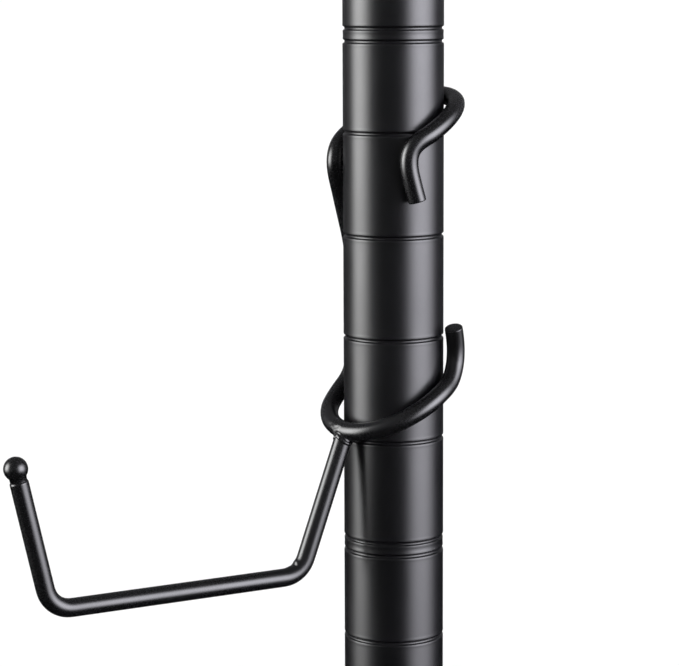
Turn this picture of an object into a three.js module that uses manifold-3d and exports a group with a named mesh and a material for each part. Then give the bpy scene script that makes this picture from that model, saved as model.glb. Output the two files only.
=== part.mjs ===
// A short section of grooved garden pole with a side hook clipped on it. The hook is one bent
// wire that grips the pole when its arm is loaded, with a U-shaped drop arm welded under it.
// Millimetres, +Z up the pole, origin at the middle of the joint stud's lower end face.
// The arm reaches out along -X. Angles round the pole are in degrees: 0 is +X, 90 is +Y.

import * as THREE from 'three';
import { mergeVertices } from 'three/addons/utils/BufferGeometryUtils.js';
import Module from 'manifold-3d';

const wasm = await Module();
wasm.setup();

// Pole: a 1 inch (25 mm) tube with a groove every inch and a double groove every five inches
const PITCH = 25.4;
const POLE_RADIUS = 12.5;
const WALL = 1.2;
const POLE_LENGTH = 7.5 * PITCH;
const FIRST_GROOVE = 0.75 * PITCH;
const GROOVE_COUNT = 7;
const DOUBLE_GROOVES = [1, 6];
const DOUBLE_DROP = 3.2;
const GROOVE_DEPTH = 0.55;
const GROOVE_HALF_WIDTH = 0.75;
const END_CHAMFER = 0.4;
const GAP = 0.3;

// Joint stud and the threaded insert in the foot of the tube
const STUD_RADIUS = 5;
const STUD_LENGTH = 26;
const STUD_CHAMFER = 1;
const TUBE_BASE = 13;
const INSERT_LENGTH = 18;

// Push-in cap in the head of the tube
const CAP_THICKNESS = 2.4;
const CAP_ROUND = 1.1;
const CAP_SKIRT = 13;
const CAP_WALL = 1.6;

// Hook: heights are measured from the middle of the arm's bar
const WIRE_RADIUS = 2.25;
const HUG_RADIUS = POLE_RADIUS + WIRE_RADIUS + GAP;
const BAR_HEIGHT = TUBE_BASE + FIRST_GROOVE + 18.5;
const CROOK = { middle: 108.9, rise: 8.1, highAngle: 8.7, from: -86.3, to: 106.7, count: 10 };
const LOOP = { middle: 43.4, rise: -8.3, highAngle: 192.7, from: 117.7, to: 307.7, count: 11 };
const SHANK_ANGLE = 99.5;

// Drop arm, in an upright plane a little off the pole's axis
const ARM_Y = -2.1;
const FOOT = { x: -15.95, z: 32.6 };
const INNER_BEND_X = -28.05;
const OUTER_BEND_X = -94.4;
const TIP = { x: -102.2, z: 34.5 };
const BEND_RADIUS = 6.5;
const FOOT_COPE = 1;
const BALL_RADIUS = 2.9;
const NECK_RADIUS = 1.95;

const ROUND_SIDES = 40;
const WIRE_SIDES = 12;
const CLIP_STEPS = 110;
const ARM_STEPS = 64;

const steelBlack = { color: 0x17181a, roughness: 0.42, metalness: 0.3 };
const plasticBlack = { color: 0x1c1c1d, roughness: 0.6, metalness: 0 };
const zincPlate = { color: 0xb4b7ba, roughness: 0.35, metalness: 0.9 };

function named(name, geometry, look) {
  const mesh = new THREE.Mesh(geometry, new THREE.MeshStandardMaterial(look));
  mesh.name = name;
  return mesh;
}

// A solid of revolution about +Z from [radius, height] points, in the order that faces outward
function turned(points, sides = ROUND_SIDES) {
  const profile = points.map(([radius, height]) => new THREE.Vector2(radius, height));
  const geometry = new THREE.LatheGeometry(profile, sides);
  geometry.rotateX(Math.PI / 2);
  return geometry;
}

function wire(path, steps, radius = WIRE_RADIUS) {
  const section = new THREE.Shape();
  section.absarc(0, 0, radius, 0, 2 * Math.PI);
  const curveSegments = WIRE_SIDES / 2;
  return new THREE.ExtrudeGeometry(section, { steps, curveSegments, extrudePath: path, bevelEnabled: false });
}

function grooveHeights() {
  const heights = [];
  for (let index = 0; index < GROOVE_COUNT; index += 1) {
    const height = FIRST_GROOVE + index * PITCH;
    if (DOUBLE_GROOVES.includes(index)) heights.push(height - DOUBLE_DROP);
    heights.push(height);
  }
  return heights;
}

function makeTube() {
  const outer = [[POLE_RADIUS - END_CHAMFER, 0], [POLE_RADIUS, END_CHAMFER]];
  for (const height of grooveHeights()) {
    outer.push([POLE_RADIUS, height - GROOVE_HALF_WIDTH]);
    outer.push([POLE_RADIUS - GROOVE_DEPTH, height]);
    outer.push([POLE_RADIUS, height + GROOVE_HALF_WIDTH]);
  }
  outer.push([POLE_RADIUS, POLE_LENGTH - END_CHAMFER], [POLE_RADIUS - END_CHAMFER, POLE_LENGTH]);
  const bore = POLE_RADIUS - WALL;
  const mesh = named('pole_tube', turned([...outer, [bore, POLE_LENGTH], [bore, 0], outer[0]]), steelBlack);
  mesh.position.z = TUBE_BASE;
  return mesh;
}

function makeCap() {
  const skirtRadius = POLE_RADIUS - WALL - GAP;
  const profile = [[0, -GAP], [skirtRadius - CAP_WALL, -GAP], [skirtRadius - CAP_WALL, -CAP_SKIRT]];
  profile.push([skirtRadius - 0.6, -CAP_SKIRT], [skirtRadius, -CAP_SKIRT + 1.5], [skirtRadius, GAP]);
  profile.push([POLE_RADIUS, GAP], [POLE_RADIUS, CAP_THICKNESS - CAP_ROUND]);
  for (let step = 1; step <= 3; step += 1) {
    const angle = (step / 3) * (Math.PI / 2);
    const radius = POLE_RADIUS - CAP_ROUND * (1 - Math.cos(angle));
    profile.push([radius, CAP_THICKNESS - CAP_ROUND * (1 - Math.sin(angle))]);
  }
  profile.push([0, CAP_THICKNESS]);
  const mesh = named('top_cap', turned(profile), plasticBlack);
  mesh.position.z = TUBE_BASE + POLE_LENGTH;
  return mesh;
}

function makeInsert() {
  const radius = POLE_RADIUS - WALL - GAP;
  const hole = STUD_RADIUS + GAP;
  const rim = 0.5;
  const outside = [[hole + rim, 0], [radius - rim, 0], [radius, rim], [radius, INSERT_LENGTH - rim]];
  const inside = [[radius - rim, INSERT_LENGTH], [hole, INSERT_LENGTH], [hole, rim]];
  const mesh = named('bottom_insert', turned([...outside, ...inside, outside[0]]), zincPlate);
  mesh.position.z = TUBE_BASE;
  return mesh;
}

function makeStud() {
  const shoulder = STUD_RADIUS - STUD_CHAMFER;
  const lower = [[0, 0], [shoulder, 0], [STUD_RADIUS, STUD_CHAMFER]];
  const upper = [[STUD_RADIUS, STUD_LENGTH - STUD_CHAMFER], [shoulder, STUD_LENGTH], [0, STUD_LENGTH]];
  return named('connector_stud', turned([...lower, ...upper]), zincPlate);
}

function station(angle, radius, height) {
  const turn = THREE.MathUtils.degToRad(angle);
  return new THREE.Vector3(radius * Math.cos(turn), radius * Math.sin(turn), height);
}

// Stations along a tilted ring round the pole, highest (or, with a negative rise, lowest) at one angle
function tiltedRing(ring, radiusAt, liftAt) {
  return Array.from({ length: ring.count }, (_, index) => {
    const angle = ring.from + ((ring.to - ring.from) * index) / (ring.count - 1);
    const climb = ring.rise * Math.cos(THREE.MathUtils.degToRad(angle - ring.highAngle));
    return station(angle, radiusAt(angle), ring.middle + climb + liftAt(angle));
  });
}

function smoothStep(angle, middle, width) {
  return 1 / (1 + Math.exp(-(angle - middle) / width));
}

function hump(offset, width) {
  return Math.exp(-((offset / width) ** 2));
}

// The crook stands a little proud at its right-hand bulge
function crookRadius(angle) {
  return HUG_RADIUS + 0.45 * hump(angle + 24.3, 22);
}

// The loop stands clear of the pole at its left-hand bulge and again where its tail turns up
function loopRadius(angle) {
  const bulge = 0.95 * (1 - smoothStep(angle, 171.7, 6)) + 0.55 * hump(angle - 130, 13);
  return HUG_RADIUS + bulge + 0.3 * smoothStep(angle, 308.7, 6);
}

// The loop starts high, where the shank turns into it
function loopLift(angle) {
  return 0.9 * hump(angle - 117.7, 14);
}

function clipPath() {
  const upperTail = [
    station(-97.7, HUG_RADIUS, 92.3),
    station(-102.8, HUG_RADIUS, 97.1),
    station(-105.9, HUG_RADIUS, 101.1),
    station(-104.5, HUG_RADIUS, 104.4),
    station(-97.3, HUG_RADIUS, 106.7),
  ];
  const crookToShank = [
    station(123.7, 15.1, 104.9),
    station(132.5, 15.1, 101.3),
    station(129.2, 15.1, 97.7),
    station(120.7, 15.1, 93.1),
    station(112.2, 15.15, 87.3),
    station(105, 15.25, 81.7),
    station(101, 15.35, 76.5),
  ];
  const shank = [69.5, 61.5, 54].map((height) => station(SHANK_ANGLE, 15.4, height));
  const shankToLoop = [station(100.5, 15.5, 49.1), station(105.2, 15.75, 45.5)];
  const lowerTail = [
    station(318.2, 15.6, 50.8),
    station(319.3, 15.75, 54.3),
    station(316.5, 15.7, 57.4),
    station(312.5, 15.55, 60.2),
  ];
  const crook = tiltedRing(CROOK, crookRadius, () => 0);
  const loop = tiltedRing(LOOP, loopRadius, loopLift);
  const stations = [...upperTail, ...crook, ...crookToShank, ...shank, ...shankToLoop, ...loop, ...lowerTail];
  return new THREE.CatmullRomCurve3(stations, false, 'centripetal');
}

// A path of straight runs joined by round bends at the inner corners
function bentPath(corners, bendRadius) {
  const path = new THREE.CurvePath();
  let start = corners[0];
  for (let index = 1; index < corners.length - 1; index += 1) {
    const corner = corners[index];
    const back = corners[index - 1].clone().sub(corner).normalize();
    const ahead = corners[index + 1].clone().sub(corner).normalize();
    const reach = bendRadius / Math.tan(back.angleTo(ahead) / 2);
    const enter = corner.clone().addScaledVector(back, reach);
    const leave = corner.clone().addScaledVector(ahead, reach);
    path.add(new THREE.LineCurve3(start, enter));
    for (const piece of arcPieces(enter, leave, corner, bendRadius, 5)) path.add(piece);
    start = leave;
  }
  path.add(new THREE.LineCurve3(start, corners.at(-1)));
  return path;
}

// Short chords along the circular bend that touches both runs
function arcPieces(enter, leave, corner, bendRadius, count) {
  const toCentre = enter.clone().add(leave).multiplyScalar(0.5).sub(corner).normalize();
  const half = enter.distanceTo(leave) / 2;
  const centre = corner.clone().addScaledVector(toCentre, (enter.distanceTo(corner) * bendRadius) / half);
  const first = enter.clone().sub(centre);
  const last = leave.clone().sub(centre);
  const sweep = first.angleTo(last);
  const points = Array.from({ length: count + 1 }, (_, index) => {
    const share = index / count;
    const a = Math.sin((1 - share) * sweep) / Math.sin(sweep);
    const b = Math.sin(share * sweep) / Math.sin(sweep);
    return centre.clone().addScaledVector(first, a).addScaledVector(last, b);
  });
  return points.slice(1).map((point, index) => new THREE.LineCurve3(points[index], point));
}

function asManifold(geometry) {
  const bare = geometry.clone();
  bare.deleteAttribute('normal');
  bare.deleteAttribute('uv');
  const merged = mergeVertices(bare, 1e-4);
  const vertProperties = new Float32Array(merged.attributes.position.array);
  const triVerts = new Uint32Array(merged.index.array);
  return new wasm.Manifold(new wasm.Mesh({ numProp: 3, vertProperties, triVerts }));
}

function asGeometry(manifold) {
  const { vertProperties, triVerts } = manifold.getMesh();
  const geometry = new THREE.BufferGeometry();
  geometry.setAttribute('position', new THREE.BufferAttribute(vertProperties, 3));
  geometry.setIndex(new THREE.BufferAttribute(triVerts, 1));
  geometry.computeVertexNormals();
  return geometry;
}

const armCorners = [
  new THREE.Vector3(FOOT.x, ARM_Y, FOOT.z),
  new THREE.Vector3(INNER_BEND_X, ARM_Y, 0),
  new THREE.Vector3(OUTER_BEND_X, ARM_Y, 0),
  new THREE.Vector3(TIP.x, ARM_Y, TIP.z),
];

function makeArm(clearance) {
  const tipDirection = armCorners[3].clone().sub(armCorners[2]).normalize();
  const rodEnd = armCorners[3].clone().addScaledVector(tipDirection, -(BALL_RADIUS + GAP));
  const footDirection = armCorners[0].clone().sub(armCorners[1]).normalize();
  const rodFoot = armCorners[0].clone().addScaledVector(footDirection, FOOT_COPE);
  const path = bentPath([rodFoot, armCorners[1], armCorners[2], rodEnd], BEND_RADIUS);
  const rod = asManifold(wire(path, ARM_STEPS)).subtract(clearance);
  return named('arm_rod', asGeometry(rod), steelBlack);
}

function alignTo(mesh, point, direction) {
  mesh.position.copy(point);
  mesh.quaternion.setFromUnitVectors(new THREE.Vector3(0, 0, 1), direction);
  return mesh;
}

function makeBall() {
  const neckAngle = Math.asin(NECK_RADIUS / BALL_RADIUS);
  const rings = 10;
  const profile = [[0, -BALL_RADIUS], [NECK_RADIUS, -BALL_RADIUS]];
  for (let step = 0; step <= rings; step += 1) {
    const angle = neckAngle + ((Math.PI - neckAngle) * step) / rings;
    profile.push([step === rings ? 0 : BALL_RADIUS * Math.sin(angle), -BALL_RADIUS * Math.cos(angle)]);
  }
  const direction = armCorners[3].clone().sub(armCorners[2]).normalize();
  return alignTo(named('tip_ball', turned(profile, 20), steelBlack), armCorners[3], direction);
}

// The weld is a collar round the arm's foot, saddled to the underside of the loop
function makeWeld(clearance) {
  const inner = WIRE_RADIUS + GAP;
  const outer = WIRE_RADIUS + 1.25;
  const profile = [[inner, -1.8], [inner + 0.35, -1.8], [outer, -0.4], [outer, 1.4], [inner, 1.4], [inner, -1.8]];
  const collar = turned(profile, 20);
  const direction = armCorners[0].clone().sub(armCorners[1]).normalize();
  const placed = new THREE.Matrix4().makeRotationFromQuaternion(
    new THREE.Quaternion().setFromUnitVectors(new THREE.Vector3(0, 0, 1), direction),
  );
  collar.applyMatrix4(placed.setPosition(armCorners[0]));
  return named('arm_weld', asGeometry(asManifold(collar).subtract(clearance)), steelBlack);
}

function roundPole() {
  const radius = POLE_RADIUS + GAP;
  return new THREE.CylinderGeometry(radius, radius, POLE_LENGTH, ROUND_SIDES).rotateX(Math.PI / 2);
}

function makeHook() {
  const hook = new THREE.Group();
  const path = clipPath();
  const roundWire = asManifold(wire(path, CLIP_STEPS, WIRE_RADIUS + GAP));
  const clearance = asManifold(roundPole()).add(roundWire);
  hook.add(named('clip_rod', wire(path, CLIP_STEPS), steelBlack));
  hook.add(makeArm(clearance), makeWeld(clearance), makeBall());
  hook.position.z = BAR_HEIGHT;
  return hook;
}

const feederPole = new THREE.Group();
feederPole.add(makeStud(), makeTube(), makeInsert(), makeCap(), makeHook());

export default feederPole;
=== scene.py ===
"""Looks for a short section of grooved garden pole with a wire side hook clipped on it and its drop arm."""
import math
import random

import bmesh
import bpy
import numpy as np
from mathutils import Matrix, Vector


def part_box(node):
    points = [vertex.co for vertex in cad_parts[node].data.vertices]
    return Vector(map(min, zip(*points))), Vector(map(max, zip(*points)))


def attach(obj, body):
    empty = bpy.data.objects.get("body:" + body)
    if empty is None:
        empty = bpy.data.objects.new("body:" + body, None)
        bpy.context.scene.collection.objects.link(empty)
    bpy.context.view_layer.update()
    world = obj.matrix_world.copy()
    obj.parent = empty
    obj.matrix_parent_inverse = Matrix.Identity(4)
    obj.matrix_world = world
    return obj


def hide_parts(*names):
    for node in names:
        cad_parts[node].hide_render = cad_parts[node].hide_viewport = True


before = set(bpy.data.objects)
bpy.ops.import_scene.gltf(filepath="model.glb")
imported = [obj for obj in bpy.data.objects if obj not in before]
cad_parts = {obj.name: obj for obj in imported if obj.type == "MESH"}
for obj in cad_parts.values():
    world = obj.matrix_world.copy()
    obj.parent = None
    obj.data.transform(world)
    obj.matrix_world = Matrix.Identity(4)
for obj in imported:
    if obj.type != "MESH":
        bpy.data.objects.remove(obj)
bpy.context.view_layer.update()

MM = 0.001

# ---- places that the frame gives ------------------------------------------------------------
tube_low, tube_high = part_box("pole_tube")
cap_low, cap_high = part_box("top_cap")
insert_low, insert_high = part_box("bottom_insert")
stud_low, stud_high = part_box("connector_stud")

# ---- the design's driving sizes, as in the CAD ----------------------------------------------
POLE_RADIUS = 12.5 * MM
WALL = 1.2 * MM
PITCH = 25.4 * MM
FIRST_GROOVE = 0.75 * PITCH
GROOVE_COUNT = 7
DOUBLE_GROOVES = (1, 6)
DOUBLE_DROP = 3.2 * MM
STUD_RADIUS = 5 * MM

WIRE_RADIUS = 2.25 * MM
HUG_RADIUS = POLE_RADIUS + WIRE_RADIUS + 0.3 * MM
BAR_HEIGHT = tube_low.z + FIRST_GROOVE + 18.5 * MM
SHANK_ANGLE = 99.5

ARM_Y = -2.1 * MM
FOOT = Vector((-15.95 * MM, ARM_Y, BAR_HEIGHT + 32.6 * MM))
INNER_BEND = Vector((-28.05 * MM, ARM_Y, BAR_HEIGHT))
OUTER_BEND = Vector((-94.4 * MM, ARM_Y, BAR_HEIGHT))
TIP = Vector((-102.2 * MM, ARM_Y, BAR_HEIGHT + 34.5 * MM))
BEND_RADIUS = 6.5 * MM
BALL_RADIUS = 2.88 * MM

# ---- the viewpoint, measured round the pole's axis ------------------------------------------
VIEW_AZIMUTH = math.radians(-29.27)
VIEW_DISTANCE = 0.5901
VIEW_ASIDE = -0.0135
VIEW_HEIGHT = 0.1950
VIEW_TILT = math.radians(8.313)
VIEW_ROLL = math.radians(-0.25)
VIEW_LENS = 126.44
SENSOR_WIDTH = 36.0


# ---- meshes ---------------------------------------------------------------------------------
def place_mesh(name, mesh):
    """Puts a mesh in the scene as a smooth-shaded object."""
    for polygon in mesh.polygons:
        polygon.use_smooth = True
    obj = bpy.data.objects.new(name, mesh)
    bpy.context.scene.collection.objects.link(obj)
    return obj


def make_object(name, verts, faces, sharp_degrees=40):
    """A smooth-shaded mesh object with its faces turned outward and its real edges kept sharp."""
    mesh = bpy.data.meshes.new(name)
    mesh.from_pydata([tuple(v) for v in verts], [], [tuple(f) for f in faces])
    shell = bmesh.new()
    shell.from_mesh(mesh)
    bmesh.ops.recalc_face_normals(shell, faces=shell.faces)
    shell.to_mesh(mesh)
    shell.free()
    obj = place_mesh(name, mesh)
    mesh.set_sharp_from_angle(angle=math.radians(sharp_degrees))
    return obj


def finish_piece(obj, body, slot, material, *nodes):
    """Every piece gets its finish, rides on its body and stands for its CAD nodes."""
    obj.data.materials.append(material)
    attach(obj, body)
    if nodes:
        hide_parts(*nodes)
    return obj


def skin_rings(rings, closed):
    """Faces between rings of equal length, with a flat face over each open end."""
    count = len(rings[0])
    verts = np.concatenate(rings)
    faces = []
    pairs = list(zip(range(len(rings) - 1), range(1, len(rings))))
    if closed:
        pairs.append((len(rings) - 1, 0))
    for low, high in pairs:
        for k in range(count):
            n = (k + 1) % count
            faces.append((low * count + k, low * count + n, high * count + n, high * count + k))
    if not closed:
        faces.append(tuple(range(count)))
        faces.append(tuple((len(rings) - 1) * count + k for k in range(count)))
    return verts, faces


def revolve(name, profile, segments=128, closed=False, sharp_degrees=40):
    """Turns a profile of (radius, height) round the Z axis. An open one is closed by flat end faces."""
    turns = np.linspace(0, 2 * math.pi, segments, endpoint=False)
    rings = []
    for radius, height in profile:
        column = np.full(segments, height)
        rings.append(np.stack([radius * np.cos(turns), radius * np.sin(turns), column], 1))
    verts, faces = skin_rings(rings, closed)
    return make_object(name, verts, faces, sharp_degrees)


def arc(centre_radius, centre_height, radius, start, end, count=6):
    """Profile points on a circle, from one angle to another in degrees: 0 faces out, 90 faces up."""
    angles = [math.radians(start + (end - start) * k / count) for k in range(count + 1)]
    return [(centre_radius + radius * math.cos(a), centre_height + radius * math.sin(a)) for a in angles]


# ---- lines that wires follow ----------------------------------------------------------------
def catmull_rom(points, per_span=24):
    """The same centripetal curve through the points as the CAD's."""
    points = [np.array(p, float) for p in points]
    points = [2 * points[0] - points[1], *points, 2 * points[-1] - points[-2]]
    line = []
    for p0, p1, p2, p3 in zip(points, points[1:], points[2:], points[3:]):
        d0, d1, d2 = (np.linalg.norm(b - a) ** 0.5 for a, b in ((p0, p1), (p1, p2), (p2, p3)))
        leave = ((p1 - p0) / d0 - (p2 - p0) / (d0 + d1) + (p2 - p1) / d1) * d1
        arrive = ((p2 - p1) / d1 - (p3 - p1) / (d1 + d2) + (p3 - p2) / d2) * d1
        for t in np.arange(per_span) / per_span:
            square = 3 * (p2 - p1) - 2 * leave - arrive
            cubic = 2 * (p1 - p2) + leave + arrive
            line.append(p1 + leave * t + square * t ** 2 + cubic * t ** 3)
    line.append(points[-2])
    return np.array(line)


def run_lengths(line):
    """How far along the line each of its points lies."""
    return np.r_[0, np.cumsum(np.linalg.norm(np.diff(line, axis=0), axis=1))]


def evenly(line, step):
    """The same line with its points an even step apart."""
    line = np.array(line, float)
    along = run_lengths(line)
    wanted = np.linspace(0, along[-1], round(along[-1] / step) + 1)
    return np.stack([np.interp(wanted, along, line[:, k]) for k in range(3)], 1)


def relaxed(line, passes):
    """Evens out how sharply a line bends, with its ends held."""
    line = line.copy()
    for _ in range(passes):
        line[1:-1] = (line[:-2] + 2 * line[1:-1] + line[2:]) / 4
    return line


BEND_STEPS = 24


def bent_line(corners, bend_radius, step):
    """Straight runs joined by round bends."""
    line = [corners[0]]
    for before, corner, after in zip(corners, corners[1:], corners[2:]):
        back = (before - corner).normalized()
        ahead = (after - corner).normalized()
        half = back.angle(ahead) / 2
        reach = bend_radius / math.tan(half)
        centre = corner + (back + ahead).normalized() * (bend_radius / math.sin(half))
        first = corner + back * reach - centre
        last = corner + ahead * reach - centre
        sweep = first.angle(last)
        for k in range(BEND_STEPS + 1):
            share = k / BEND_STEPS
            spoke = first * math.sin((1 - share) * sweep) + last * math.sin(share * sweep)
            line.append(centre + spoke / math.sin(sweep))
    line.append(corners[-1])
    return relaxed(evenly(line, step), 8)


def cross_directions(line):
    """The tangent and two cross directions at each point, carried along without twist."""
    tangents = np.gradient(line, axis=0)
    tangents /= np.linalg.norm(tangents, axis=1)[:, None]
    side = np.cross(tangents[0], (0.3, 0.9, 0.1))
    sides = []
    for tangent in tangents:
        side = side - tangent * (side @ tangent)
        side = side / np.linalg.norm(side)
        sides.append(side)
    return tangents, np.array(sides), np.cross(tangents, np.array(sides))


def wire_along(name, line, radius, edge=0.3 * MM, sides=48):
    """A round wire along a line, with the edges of its two cut ends slightly rounded."""
    tangents, across, up = cross_directions(line)
    turns = np.linspace(0, 2 * math.pi, sides, endpoint=False)

    def ring(k, shift, size):
        spokes = np.cos(turns)[:, None] * across[k] + np.sin(turns)[:, None] * up[k]
        return line[k] + tangents[k] * shift + spokes * size

    def cut_ring(k, way, turn):
        return ring(k, way * edge * (1 - math.sin(turn)), radius - edge * (1 - math.cos(turn)))

    along = run_lengths(line)
    rounding = [math.radians(15 * k) for k in range(7)]
    rings = [cut_ring(0, 1, turn) for turn in reversed(rounding)]
    for k in range(1, len(line) - 1):
        if edge < along[k] < along[-1] - edge:
            rings.append(ring(k, 0, radius))
    rings += [cut_ring(-1, -1, turn) for turn in rounding]
    return make_object(name, *skin_rings(rings, closed=False))


def station(angle, radius, height):
    """A point at an angle in degrees round the pole, a radius and a height above the bar, both in mm."""
    turn = math.radians(angle)
    return (radius * MM * math.cos(turn), radius * MM * math.sin(turn), BAR_HEIGHT + height * MM)


def tilted_ring(middle, rise, high_angle, start, end, count, radius_at, lift_at):
    """Stations along a tilted ring round the pole, from one angle to another."""
    stations = []
    for k in range(count):
        angle = start + (end - start) * k / (count - 1)
        climb = rise * math.cos(math.radians(angle - high_angle)) + lift_at(angle)
        stations.append(station(angle, radius_at(angle), middle + climb))
    return stations


def smooth_step(angle, middle, width):
    """Rises smoothly from 0 to 1 about the middle."""
    return 1 / (1 + math.exp(-(angle - middle) / width))


def hump(offset, width, power=2):
    """A smooth bump: the higher the power, the flatter its top and the steeper its sides."""
    return math.exp(-abs(offset / width) ** power)


def crook_radius(angle):
    """The crook stands a little proud at its right-hand bulge."""
    return HUG_RADIUS / MM + 0.45 * hump(angle + 24.3, 22)


def loop_radius(angle):
    """The loop stands clear at its left-hand bulge and again where its tail turns up."""
    bulge = 0.95 * (1 - smooth_step(angle, 171.7, 6)) + 0.55 * hump(angle - 130, 13)
    return HUG_RADIUS / MM + bulge + 0.3 * smooth_step(angle, 308.7, 6)


def loop_lift(angle):
    """The loop starts high, where the shank turns into it."""
    return 0.9 * hump(angle - 117.7, 14)


def clip_line():
    """The one bent wire: upper tail, crook round the pole, shank behind it, loop round it, lower tail."""
    upper_tail = [
        station(-97.7, 15.05, 92.3),
        station(-102.8, 15.05, 97.1),
        station(-105.9, 15.05, 101.1),
        station(-104.5, 15.05, 104.4),
        station(-97.3, 15.05, 106.7),
    ]
    crook_to_shank = [
        station(123.7, 15.1, 104.9),
        station(132.5, 15.1, 101.3),
        station(129.2, 15.1, 97.7),
        station(120.7, 15.1, 93.1),
        station(112.2, 15.15, 87.3),
        station(105, 15.25, 81.7),
        station(101, 15.35, 76.5),
    ]
    shank = [station(SHANK_ANGLE, 15.4, height) for height in (69.5, 61.5, 54)]
    shank_to_loop = [station(100.5, 15.5, 49.1), station(105.2, 15.75, 45.5)]
    lower_tail = [
        station(318.2, 15.6, 50.8),
        station(319.3, 15.75, 54.3),
        station(316.5, 15.7, 57.4),
        station(312.5, 15.55, 60.2),
    ]
    crook = tilted_ring(108.9, 8.1, 8.7, -86.3, 106.7, 10, crook_radius, lambda angle: 0)
    loop = tilted_ring(43.4, -8.3, 192.7, 117.7, 307.7, 11, loop_radius, loop_lift)
    stations = [*upper_tail, *crook, *crook_to_shank, *shank, *shank_to_loop, *loop, *lower_tail]
    return relaxed(evenly(catmull_rom(stations), 0.45 * MM), 10)


# ---- the pole -------------------------------------------------------------------------------
GROOVE_DEPTH = 0.46 * MM
GROOVE_WIDTH = 0.42 * MM
LIP_HEIGHT = 0.015 * MM
LIP_WIDTH = 0.3 * MM
LIP_OFFSET = 0.95 * MM
BAND_DROP = 0.1 * MM
GROOVE_STEP = 0.07 * MM
STEPS_ASIDE = 28
TUBE_RIM = 0.3 * MM
BORE_EDGE = 0.1 * MM


def groove_heights():
    """The height of every rolled groove, from the foot up."""
    heights = []
    for index in range(GROOVE_COUNT):
        height = tube_low.z + FIRST_GROOVE + index * PITCH
        if index in DOUBLE_GROOVES:
            heights.append(height - DOUBLE_DROP)
        heights.append(height)
    return heights


def rolled_radius(height, grooves):
    """The tube's outside: a rounded groove with faint raised lips at each rolled mark."""
    radius = POLE_RADIUS - LIP_HEIGHT
    for groove in grooves:
        offset = height - groove
        radius -= GROOVE_DEPTH * hump(offset, GROOVE_WIDTH, 4)
        radius += LIP_HEIGHT * hump(abs(offset) - LIP_OFFSET, LIP_WIDTH)
    for low, high in zip(grooves, grooves[1:]):
        if high - low < 2 * DOUBLE_DROP:
            radius -= BAND_DROP * hump(height - (low + high) / 2, 0.45 * DOUBLE_DROP)
    return min(radius, POLE_RADIUS)


def outside_heights(grooves):
    """Heights up the tube's outside, close together only near its grooves."""
    heights = [tube_low.z + TUBE_RIM, tube_low.z + 8 * MM]
    for groove in grooves:
        near = [groove + GROOVE_STEP * k for k in range(-STEPS_ASIDE, STEPS_ASIDE + 1)]
        heights += [height for height in near if height > heights[-1] + GROOVE_STEP / 2]
    heights.append(tube_high.z - TUBE_RIM)
    return [height for height in heights if height <= tube_high.z - TUBE_RIM]


def tube_profile():
    """Up the outside, over the rounded upper rim, down the bore and round the lower rim."""
    grooves = groove_heights()
    low, high = tube_low.z, tube_high.z
    bore = POLE_RADIUS - WALL
    shoulder = POLE_RADIUS - LIP_HEIGHT - TUBE_RIM
    outside = [(rolled_radius(height, grooves), height) for height in outside_heights(grooves)]
    upper = arc(shoulder, high - TUBE_RIM, TUBE_RIM, 0, 90)[1:] + [(bore + BORE_EDGE, high)]
    inside = [(bore, high - BORE_EDGE), (bore, low + BORE_EDGE), (bore + BORE_EDGE, low)]
    return outside + upper + inside + arc(shoulder, low + TUBE_RIM, TUBE_RIM, -90, 0)[:-1]


def make_tube():
    return revolve("pole_section", tube_profile(), segments=192, closed=True)


def make_cap():
    """A moulded push-in cap: gate dimple and shallow dish on top, softly rounded rim, hollow plug."""
    low, top = cap_low.z, cap_high.z
    seat = tube_high.z + 0.02 * MM
    skirt = POLE_RADIUS - WALL - 0.45 * MM
    inner = skirt - 1.6 * MM
    rim = 1.1 * MM
    outer = POLE_RADIUS - 0.05 * MM
    gate, gate_floor = 0.25 * MM, top - 0.35 * MM
    dish = [(gate, gate_floor), (1.1 * MM, gate_floor), (1.25 * MM, top - 0.22 * MM)]
    dish += [(5.5 * MM, top - 0.2 * MM), (9.3 * MM, top - 0.14 * MM), (10.2 * MM, top)]
    flange = arc(outer - rim, top - rim, rim, 90, 0, 10)
    flange += [(outer, seat + 0.25 * MM), (outer - 0.2 * MM, seat), (skirt + 0.1 * MM, seat)]
    plug = [(skirt, seat - 0.1 * MM), (skirt, low + 1.2 * MM), (skirt - 0.5 * MM, low)]
    plug += [(skirt - 1.5 * MM, low), (inner, low + 0.1 * MM), (inner, seat), (gate, seat)]
    return revolve("end_cap", dish + flange + plug, segments=128, sharp_degrees=30)


RIB_COUNT = 8
RIB_HALF = 0.35 * MM
RIB_STAND = 0.42 * MM
RIB_LEAD = 1.5 * MM


def rib_rows(turn):
    """One rib's three cross-sections, from its low lead at the bottom to its full height at the top."""
    skirt = POLE_RADIUS - WALL - 0.5 * MM
    low, high = cap_low.z + 1.4 * MM, tube_high.z - 0.3 * MM
    side, proud = RIB_HALF * 0.7, RIB_STAND * 0.8
    section = [(-RIB_HALF, 0), (-side, proud), (0, RIB_STAND), (side, proud), (RIB_HALF, 0)]
    out = Vector((math.cos(turn), math.sin(turn), 0))
    aside = Vector((-math.sin(turn), math.cos(turn), 0))
    rows = []
    for height, share in ((low, 0.25), (low + RIB_LEAD, 1.0), (high, 1.0)):
        points = [out * (skirt + stand * share) + aside * shift for shift, stand in section]
        rows.append(np.array([(point.x, point.y, height) for point in points]))
    return rows


def make_cap_ribs():
    """Thin crush ribs down the cap's skirt, which hold it in the bore."""
    verts, faces = [], []
    for rib in range(RIB_COUNT):
        rib_verts, rib_faces = skin_rings(rib_rows(2 * math.pi * rib / RIB_COUNT), closed=False)
        faces += [tuple(len(verts) + corner for corner in face) for face in rib_faces]
        verts += list(rib_verts)
    return make_object("end_cap_ribs", verts, faces)


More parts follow.
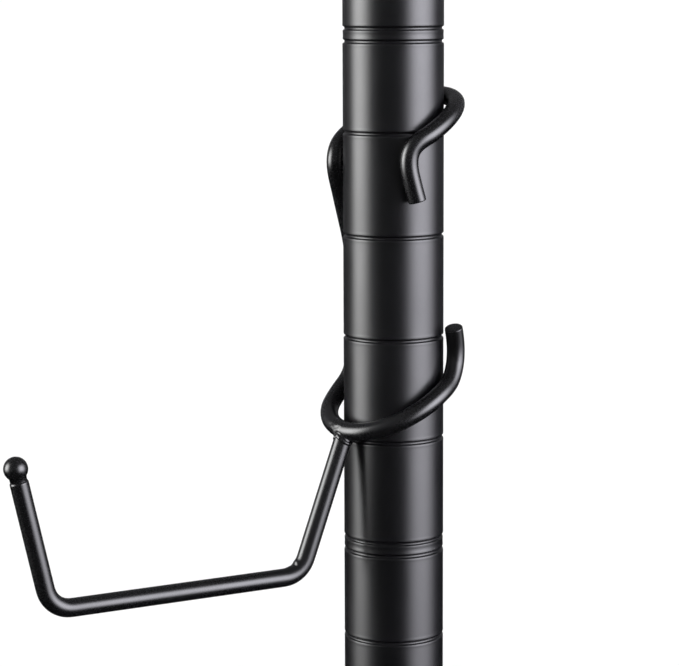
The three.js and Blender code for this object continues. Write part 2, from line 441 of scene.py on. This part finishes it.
def make_insert():
    """The pressed-in nut that closes the tube's foot, with a shallow ring groove and a tapped bore."""
    low, high = insert_low.z, insert_high.z
    outer = POLE_RADIUS - WALL - 0.02 * MM
    bore = STUD_RADIUS + 0.12 * MM
    chamfer = 0.5 * MM
    flat, groove, lip = low + 0.06 * MM, low + 0.3 * MM, low + 0.12 * MM
    profile = [(bore, low + 0.7 * MM), (bore + 0.6 * MM, low + 0.1 * MM), (bore + 0.75 * MM, flat)]
    profile += [(outer - 1.9 * MM, flat), (outer - 1.7 * MM, groove)]
    profile += [(outer - 1.2 * MM, groove), (outer - 1.0 * MM, lip)]
    profile += [(outer - 0.4 * MM, lip), (outer, low + chamfer)]
    profile += [(outer, high - chamfer), (outer - chamfer, high)]
    profile += [(bore + chamfer, high), (bore, high - chamfer)]
    return revolve("threaded_insert", profile, segments=128, closed=True, sharp_degrees=30)


THREAD_PITCH = 1.5 * MM
THREAD_DEPTH = 0.9 * MM
ROOT_FLAT = 0.1
FLANK_SPAN = 0.72
END_DROP = 1.15 * MM


def thread_radius(turn, height):
    """A rounded 60 degree thread, cut away by the lead chamfers at both ends of the stud."""
    phase = (height / THREAD_PITCH - turn / (2 * math.pi)) % 1.0
    flank = min(phase, 1 - phase) * 2
    share = min(1.0, max(0.0, (flank - ROOT_FLAT) / FLANK_SPAN))
    share = share * share * (3 - 2 * share) * 0.35 + share * 0.65
    radius = STUD_RADIUS - 0.02 * MM - THREAD_DEPTH * (1 - share)
    lead = min(height - stud_low.z, stud_high.z - height)
    return min(radius, STUD_RADIUS - END_DROP + lead)


def make_stud():
    """The grub screw that joins two sections of pole, with its helical thread."""
    segments, step = 96, 0.1 * MM
    count = round((stud_high.z - stud_low.z) / step)
    turns = [2 * math.pi * k / segments for k in range(segments)]
    rings = []
    for row in range(count + 1):
        height = stud_low.z + (stud_high.z - stud_low.z) * row / count
        points = []
        for turn in turns:
            radius = thread_radius(turn, height)
            points.append((radius * math.cos(turn), radius * math.sin(turn), height))
        rings.append(np.array(points))
    return make_object("joint_stud_screw", *skin_rings(rings, closed=False), sharp_degrees=50)


# ---- the hook -------------------------------------------------------------------------------
def arm_directions():
    """The arm's two legs, each pointing up: from the inner bend to the foot and out to the tip."""
    foot_up = (FOOT - INNER_BEND).normalized()
    tip_up = (TIP - OUTER_BEND).normalized()
    return foot_up, tip_up


SEARCH_REACH = 8 * MM


def nearest_on_line(line, point, direction):
    """Where a straight line passes nearest to a bent one: the bent line's index and the run along it."""
    offsets = line - np.array(point)
    runs = offsets @ np.array(direction)
    gaps = np.linalg.norm(offsets - runs[:, None] * np.array(direction), axis=1)
    near = np.abs(runs) < SEARCH_REACH
    index = int(np.argmin(np.where(near, gaps, np.inf)))
    return index, runs[index]


def make_arm(weld_centre):
    """The U drop arm, from inside the weld to just under the ball."""
    foot_up, tip_up = arm_directions()
    start = weld_centre - foot_up * 0.5 * MM
    end = TIP - tip_up * (BALL_RADIUS + 0.07 * MM)
    line = bent_line([start, INNER_BEND, OUTER_BEND, end], BEND_RADIUS, 0.3 * MM)
    arm = wire_along("drop_arm", line, WIRE_RADIUS, edge=0.6 * MM)
    crease(arm, foot_up, (OUTER_BEND - INNER_BEND).normalized())
    return arm


DENT = {"depth": 0.28 * MM, "length": 0.55 * MM, "width": 1.4 * MM}
DENT_LIP = {"height": 0.6, "place": 1.0 * MM, "length": 0.5 * MM}


def crease(obj, back, ahead):
    """The small dent with a raised lip that the bending tool left inside the arm's inner bend."""
    inward = (back + ahead).normalized()
    along = (back - ahead).normalized()
    centre = INNER_BEND + inward * (BEND_RADIUS / math.sin(back.angle(ahead) / 2))
    place = centre - inward * (BEND_RADIUS - WIRE_RADIUS)
    for vert in obj.data.vertices:
        offset = vert.co - place
        run = offset.dot(along)
        aside = (offset - along * run).length
        lip = DENT_LIP["height"] * hump(run - DENT_LIP["place"], DENT_LIP["length"])
        push = hump(run, DENT["length"]) - lip
        vert.co -= inward * DENT["depth"] * push * hump(aside, DENT["width"])


def make_ball():
    """The round end of the arm, on a short neck that stands in the wire's end."""
    neck, reach = 2.0 * MM, BALL_RADIUS + 0.4 * MM
    seat = math.degrees(math.asin(neck / BALL_RADIUS)) + 2
    profile = [(neck, -reach)] + arc(0, 0, BALL_RADIUS, seat - 90, 88, 40)
    ball = revolve("arm_ball_end", profile, segments=64)
    turn = Vector((0, 0, 1)).rotation_difference(arm_directions()[1]).to_matrix().to_4x4()
    ball.data.transform(Matrix.Translation(TIP) @ turn)
    return ball


def clear_of_pole(point, size):
    """A blob of weld moved outward until it no longer touches the pole."""
    excess = math.hypot(point.x, point.y) - (POLE_RADIUS + size + 0.15 * MM)
    if excess < 0:
        point = point - Vector((point.x, point.y, 0)).normalized() * excess
    return np.array(point), size


FOOT_BLOBS = 16
LAP_BLOBS = 12
LAP_LIFTS = (38, 2, -38, -70)
LAP_OFFSET_MM = 1.25
LAP_SIZE = 1.05 * MM


def bead_points(line, index, centre):
    """Where the weld lies: round the arm's foot, and from there back along the loop's outer face."""
    rng = random.Random(11)
    up = arm_directions()[0]
    across = up.cross(Vector(line[index + 1] - line[index - 1])).normalized()
    along = across.cross(up)
    points = []
    for k in range(FOOT_BLOBS):
        turn = 2 * math.pi * k / FOOT_BLOBS
        depth = WIRE_RADIUS * (0.8 + 0.5 * abs(math.sin(turn)))
        spoke = (across * math.cos(turn) + along * math.sin(turn)) * WIRE_RADIUS * 0.78
        points.append((centre + spoke - up * depth, rng.uniform(0.74, 0.84) * MM))
    for back in range(LAP_BLOBS):
        spot = Vector(line[index - back])
        out = Vector((spot.x, spot.y, 0)).normalized()
        for lift in LAP_LIFTS:
            lean = math.radians(lift + 8 * math.sin(back * 1.1))
            aim = out * math.cos(lean) + Vector((0, 0, math.sin(lean)))
            points.append((spot + aim * LAP_OFFSET_MM * MM, LAP_SIZE))
    return [clear_of_pole(point, size) for point, size in points]


BLEND = 0.13 * MM
BLEND_SHIFT = 60
LEAST_REACH = 1.5 * MM
SMOOTH_PASSES = 4


def bead_reach(ray, blobs, middle):
    """How far the blended blobs reach from the bead's middle along a ray."""
    total = math.exp(LEAST_REACH / BLEND - BLEND_SHIFT)
    for place, size in blobs:
        offset = place - middle
        run = ray @ offset
        inside = size ** 2 - offset @ offset + run ** 2
        if inside > 0:
            total += math.exp((run + math.sqrt(inside)) / BLEND - BLEND_SHIFT)
    return math.log(total) + BLEND_SHIFT


def make_weld(line, index, centre):
    """One bead as seen from its middle: the furthest reach of its blobs in each direction, blended."""
    blobs = bead_points(line, index, centre)
    middle = np.mean([place for place, _ in blobs], axis=0)
    sphere = bmesh.new()
    bmesh.ops.create_icosphere(sphere, subdivisions=6, radius=1.0)
    for vert in sphere.verts:
        ray = np.array(vert.co.normalized())
        vert.co = Vector(middle + ray * BLEND * bead_reach(ray, blobs, middle))
    axes = {"use_axis_x": True, "use_axis_y": True, "use_axis_z": True}
    for _ in range(SMOOTH_PASSES):
        bmesh.ops.smooth_vert(sphere, verts=sphere.verts, factor=0.5, **axes)
    mesh = bpy.data.meshes.new("weld_bead")
    sphere.to_mesh(mesh)
    sphere.free()
    return place_mesh("weld_bead", mesh)


# ---- materials ------------------------------------------------------------------------------
class Nodes:
    """A short way to add and link shader nodes."""

    def __init__(self, tree):
        self.tree = tree

    def link(self, source, target):
        self.tree.links.new(source, target)

    def window(self, source, start, full, full_end, end):
        """Rises smoothly from start to full, and falls again from full_end to end."""
        rise = self.mapped(source, start, full, 0.0, 1.0, "SMOOTHSTEP")
        return self.maths("MULTIPLY", rise, self.mapped(source, full_end, end, 1.0, 0.0, "SMOOTHSTEP"))

    def mapped(self, source, low, high, to_low, to_high, kind="LINEAR"):
        node = self.tree.nodes.new("ShaderNodeMapRange")
        node.interpolation_type = kind
        node.inputs["From Min"].default_value = low
        node.inputs["From Max"].default_value = high
        node.inputs["To Min"].default_value = to_low
        node.inputs["To Max"].default_value = to_high
        self.link(source, node.inputs["Value"])
        return node.outputs["Result"]

    def maths(self, operation, first, second):
        node = self.tree.nodes.new("ShaderNodeMath")
        node.operation = operation
        for socket, value in zip(node.inputs, (first, second)):
            if isinstance(value, float):
                socket.default_value = value
            else:
                self.link(value, socket)
        return node.outputs["Value"]


class Surface(Nodes):
    """A material with its noises laid out in the object's own space."""

    def __init__(self, name):
        self.material = bpy.data.materials.new(name)
        self.material.use_nodes = True
        super().__init__(self.material.node_tree)
        self.shader = self.tree.nodes["Principled BSDF"]
        self.object_space = self.tree.nodes.new("ShaderNodeTexCoord").outputs["Object"]

    def noise(self, scale, detail=3.0, rough=0.5, vector=None):
        node = self.tree.nodes.new("ShaderNodeTexNoise")
        node.inputs["Scale"].default_value = scale
        node.inputs["Detail"].default_value = detail
        node.inputs["Roughness"].default_value = rough
        self.link(vector or self.object_space, node.inputs["Vector"])
        return node.outputs["Fac"]

    def stretched(self, x, y, z):
        node = self.tree.nodes.new("ShaderNodeMapping")
        node.inputs["Scale"].default_value = (x, y, z)
        self.link(self.object_space, node.inputs["Vector"])
        return node.outputs["Vector"]

    def mixed(self, factor, first, second):
        node = self.tree.nodes.new("ShaderNodeMix")
        node.data_type = "RGBA"
        self.link(factor, node.inputs["Factor"])
        colours = [socket for socket in node.inputs if socket.type == "RGBA"]
        colours[0].default_value = (*first, 1)
        colours[1].default_value = (*second, 1)
        return [socket for socket in node.outputs if socket.type == "RGBA"][0]

    def bump(self, height, distance, strength=1.0, normal=None):
        node = self.tree.nodes.new("ShaderNodeBump")
        node.inputs["Distance"].default_value = distance
        node.inputs["Strength"].default_value = strength
        self.link(height, node.inputs["Height"])
        if normal:
            self.link(normal, node.inputs["Normal"])
        return node.outputs["Normal"]

    def set(self, **values):
        for name, value in values.items():
            self.shader.inputs[name.replace("_", " ")].default_value = value


def powder_coat(name, dark, light, rough_low, rough_high, peel_scale, peel_depth):
    """Black powder coat: fine orange peel over a slow waviness, with slightly uneven gloss."""
    n = Surface(name)
    n.link(n.mixed(n.noise(90, 4), dark, light), n.shader.inputs["Base Color"])
    clouds = n.mapped(n.noise(55, 3), 0.3, 0.7, rough_low, rough_high)
    specks = n.mapped(n.noise(2600, 2), 0.4, 0.7, 0.0, 0.04)
    n.link(n.maths("ADD", clouds, specks), n.shader.inputs["Roughness"])
    wave = n.bump(n.noise(240, 2), peel_depth * 1.5)
    peel = n.bump(n.noise(peel_scale, 2, 0.6), peel_depth, normal=wave)
    n.link(peel, n.shader.inputs["Normal"])
    n.set(Specular_IOR_Level=0.5, IOR=1.5)
    return n.material


def moulded_plastic(name):
    """Matt black moulding with a fine spark-eroded grain."""
    n = Surface(name)
    tone = n.mixed(n.noise(140, 4), (0.013, 0.013, 0.014), (0.021, 0.021, 0.022))
    n.link(tone, n.shader.inputs["Base Color"])
    n.link(n.mapped(n.noise(70, 3), 0.3, 0.7, 0.62, 0.74), n.shader.inputs["Roughness"])
    grain = n.bump(n.noise(3200, 3, 0.6), 0.00005)
    n.link(grain, n.shader.inputs["Normal"])
    n.set(Specular_IOR_Level=0.15)
    return n.material


def zinc_plate(name):
    """Bright zinc with a faint warm passivation and fine turning marks."""
    n = Surface(name)
    tint = n.mixed(n.mapped(n.noise(160, 4), 0.35, 0.65, 0.0, 1.0), (0.55, 0.57, 0.6), (0.62, 0.6, 0.5))
    n.link(tint, n.shader.inputs["Base Color"])
    n.link(n.mapped(n.noise(420, 4), 0.3, 0.7, 0.24, 0.42), n.shader.inputs["Roughness"])
    marks = n.noise(900, 3, 0.6, n.stretched(0.25, 0.25, 6))
    n.link(n.bump(marks, 0.00002), n.shader.inputs["Normal"])
    n.set(Metallic=1.0)
    return n.material


def floor_paint(name):
    """Matt off-white with a barely visible unevenness."""
    n = Surface(name)
    tone = n.mixed(n.noise(6, 3), (0.86, 0.86, 0.86), (0.88, 0.88, 0.88))
    n.link(tone, n.shader.inputs["Base Color"])
    n.set(Roughness=0.9, Specular_IOR_Level=0.1)
    return n.material


# ---- building the object --------------------------------------------------------------------
POLE_COAT = {
    "dark": (0.0010, 0.0010, 0.0015),
    "light": (0.0019, 0.0019, 0.0026),
    "rough_low": 0.29,
    "rough_high": 0.34,
    "peel_scale": 1500,
    "peel_depth": 0.000006,
}
WIRE_COAT = {
    "dark": (0.0030, 0.0030, 0.0035),
    "light": (0.0046, 0.0046, 0.0052),
    "rough_low": 0.24,
    "rough_high": 0.29,
    "peel_scale": 1700,
    "peel_depth": 0.0000016,
}


def build_pole():
    pole_coat = powder_coat("pole_coat_black", **POLE_COAT)
    plastic = moulded_plastic("cap_plastic_black")
    zinc = zinc_plate("zinc_plate")
    finish_piece(make_tube(), "pole", "pole_coat", pole_coat, "pole_tube")
    finish_piece(make_insert(), "pole", "zinc_plate", zinc, "bottom_insert")
    finish_piece(make_stud(), "joint_stud", "zinc_plate", zinc, "connector_stud")
    finish_piece(make_cap(), "cap", "cap_plastic", plastic, "top_cap")
    finish_piece(make_cap_ribs(), "cap", "cap_plastic", plastic)


def build_hook():
    wire_coat = powder_coat("wire_coat_black", **WIRE_COAT)
    line = clip_line()
    foot_up = arm_directions()[0]
    index, run = nearest_on_line(line, FOOT, foot_up)
    weld_centre = FOOT + foot_up * run
    finish_piece(wire_along("clip_wire", line, WIRE_RADIUS), "hook", "wire_coat", wire_coat, "clip_rod")
    finish_piece(make_arm(weld_centre), "hook", "wire_coat", wire_coat, "arm_rod")
    finish_piece(make_weld(line, index, weld_centre), "hook", "wire_coat", wire_coat, "arm_weld")
    finish_piece(make_ball(), "hook", "wire_coat", wire_coat, "tip_ball")


# ---- the studio -----------------------------------------------------------------------------
# Soft boxes as glossy surfaces see them: start, full, full end and end of each, in degrees. Azimuths
# run from the camera's side towards its right, and elevations up from the horizon.
LEFT_BOX = {
    "azimuth": (-113, -90, -80, -50),
    "elevation": (-23, 4, 18, 46),
    "radiance": 13.6,
    "colour": (1, 1, 1),
}
RIGHT_BOX = {
    "azimuth": (23, 57, 67, 114),
    "elevation": (-30, 4, 18, 46),
    "radiance": 12.8,
    "colour": (0.93, 0.92, 1),
}
ROOM_GLOW = {"elevation": (-12, 4), "radiance": 0.2, "colour": (0.95, 0.95, 1)}
WHITE_ROOM = 1.22
FLOOR_REACH = 60.0


def add_floor():
    """A wide pale floor, which glossy surfaces don't see."""
    reach = FLOOR_REACH
    verts = [(-reach, -reach, 0), (reach, -reach, 0), (reach, reach, 0), (-reach, reach, 0)]
    floor = make_object("studio_floor", verts, [(0, 1, 2, 3)])
    floor.data.materials.append(floor_paint("floor_paint"))
    floor.visible_glossy = False


def glow(n, colour, strength):
    """A background of one colour, its strength either a number or a socket."""
    node = n.tree.nodes.new("ShaderNodeBackground")
    node.inputs["Color"].default_value = (*colour, 1)
    if isinstance(strength, float):
        node.inputs["Strength"].default_value = strength
    else:
        n.link(strength, node.inputs["Strength"])
    return node.outputs["Background"]


def room_angles(n):
    """The azimuth and elevation of a direction, in degrees, from the viewpoint's side of the pole."""
    turn = n.tree.nodes.new("ShaderNodeMapping")
    turn.inputs["Rotation"].default_value = (0, 0, -VIEW_AZIMUTH)
    n.link(n.tree.nodes.new("ShaderNodeTexCoord").outputs["Generated"], turn.inputs["Vector"])
    parts = n.tree.nodes.new("ShaderNodeSeparateXYZ")
    n.link(turn.outputs["Vector"], parts.inputs["Vector"])
    forward = n.maths("MULTIPLY", parts.outputs["Y"], -1.0)
    azimuth = n.maths("MULTIPLY", n.maths("ARCTAN2", parts.outputs["X"], forward), math.degrees(1))
    elevation = n.maths("MULTIPLY", n.maths("ARCSINE", parts.outputs["Z"], 0.0), math.degrees(1))
    return azimuth, elevation


def add_room():
    """A white room, which glossy surfaces see as dark but for its soft boxes."""
    world = bpy.data.worlds.new("studio")
    world.use_nodes = True
    world.cycles.sampling_method = "NONE"
    n = Nodes(world.node_tree)
    azimuth, elevation = room_angles(n)
    haze = n.mapped(elevation, *ROOM_GLOW["elevation"], 0.0, ROOM_GLOW["radiance"])
    glossy = glow(n, ROOM_GLOW["colour"], haze)
    for box in (LEFT_BOX, RIGHT_BOX):
        across = n.window(azimuth, *box["azimuth"])
        shape = n.maths("MULTIPLY", across, n.window(elevation, *box["elevation"]))
        both = n.tree.nodes.new("ShaderNodeAddShader")
        n.link(glossy, both.inputs[0])
        n.link(glow(n, box["colour"], n.maths("MULTIPLY", shape, box["radiance"])), both.inputs[1])
        glossy = both.outputs["Shader"]
    mix = n.tree.nodes.new("ShaderNodeMixShader")
    n.link(n.tree.nodes.new("ShaderNodeLightPath").outputs["Is Glossy Ray"], mix.inputs["Fac"])
    n.link(glow(n, (1, 1, 1), WHITE_ROOM), mix.inputs[1])
    n.link(glossy, mix.inputs[2])
    n.link(mix.outputs["Shader"], n.tree.nodes["World Output"].inputs["Surface"])
    bpy.context.scene.world = world


def add_camera():
    """The view from the side that the viewpoint's values describe."""
    lens = bpy.data.cameras.new("camera")
    lens.lens = VIEW_LENS
    lens.sensor_width = SENSOR_WIDTH
    lens.clip_start = 0.01
    camera = bpy.data.objects.new("camera", lens)
    away = Matrix.Translation((VIEW_ASIDE, -VIEW_DISTANCE, VIEW_HEIGHT))
    place = Matrix.Rotation(VIEW_AZIMUTH, 4, "Z") @ away
    tilt = Matrix.Rotation(math.pi / 2 - VIEW_TILT, 4, "X")
    camera.matrix_world = place @ tilt @ Matrix.Rotation(VIEW_ROLL, 4, "Z")
    bpy.context.scene.collection.objects.link(camera)
    bpy.context.scene.camera = camera


def build_studio():
    bpy.context.scene.view_settings.view_transform = "Standard"
    add_room()
    add_floor()


add_camera()
build_studio()
build_pole()
build_hook()
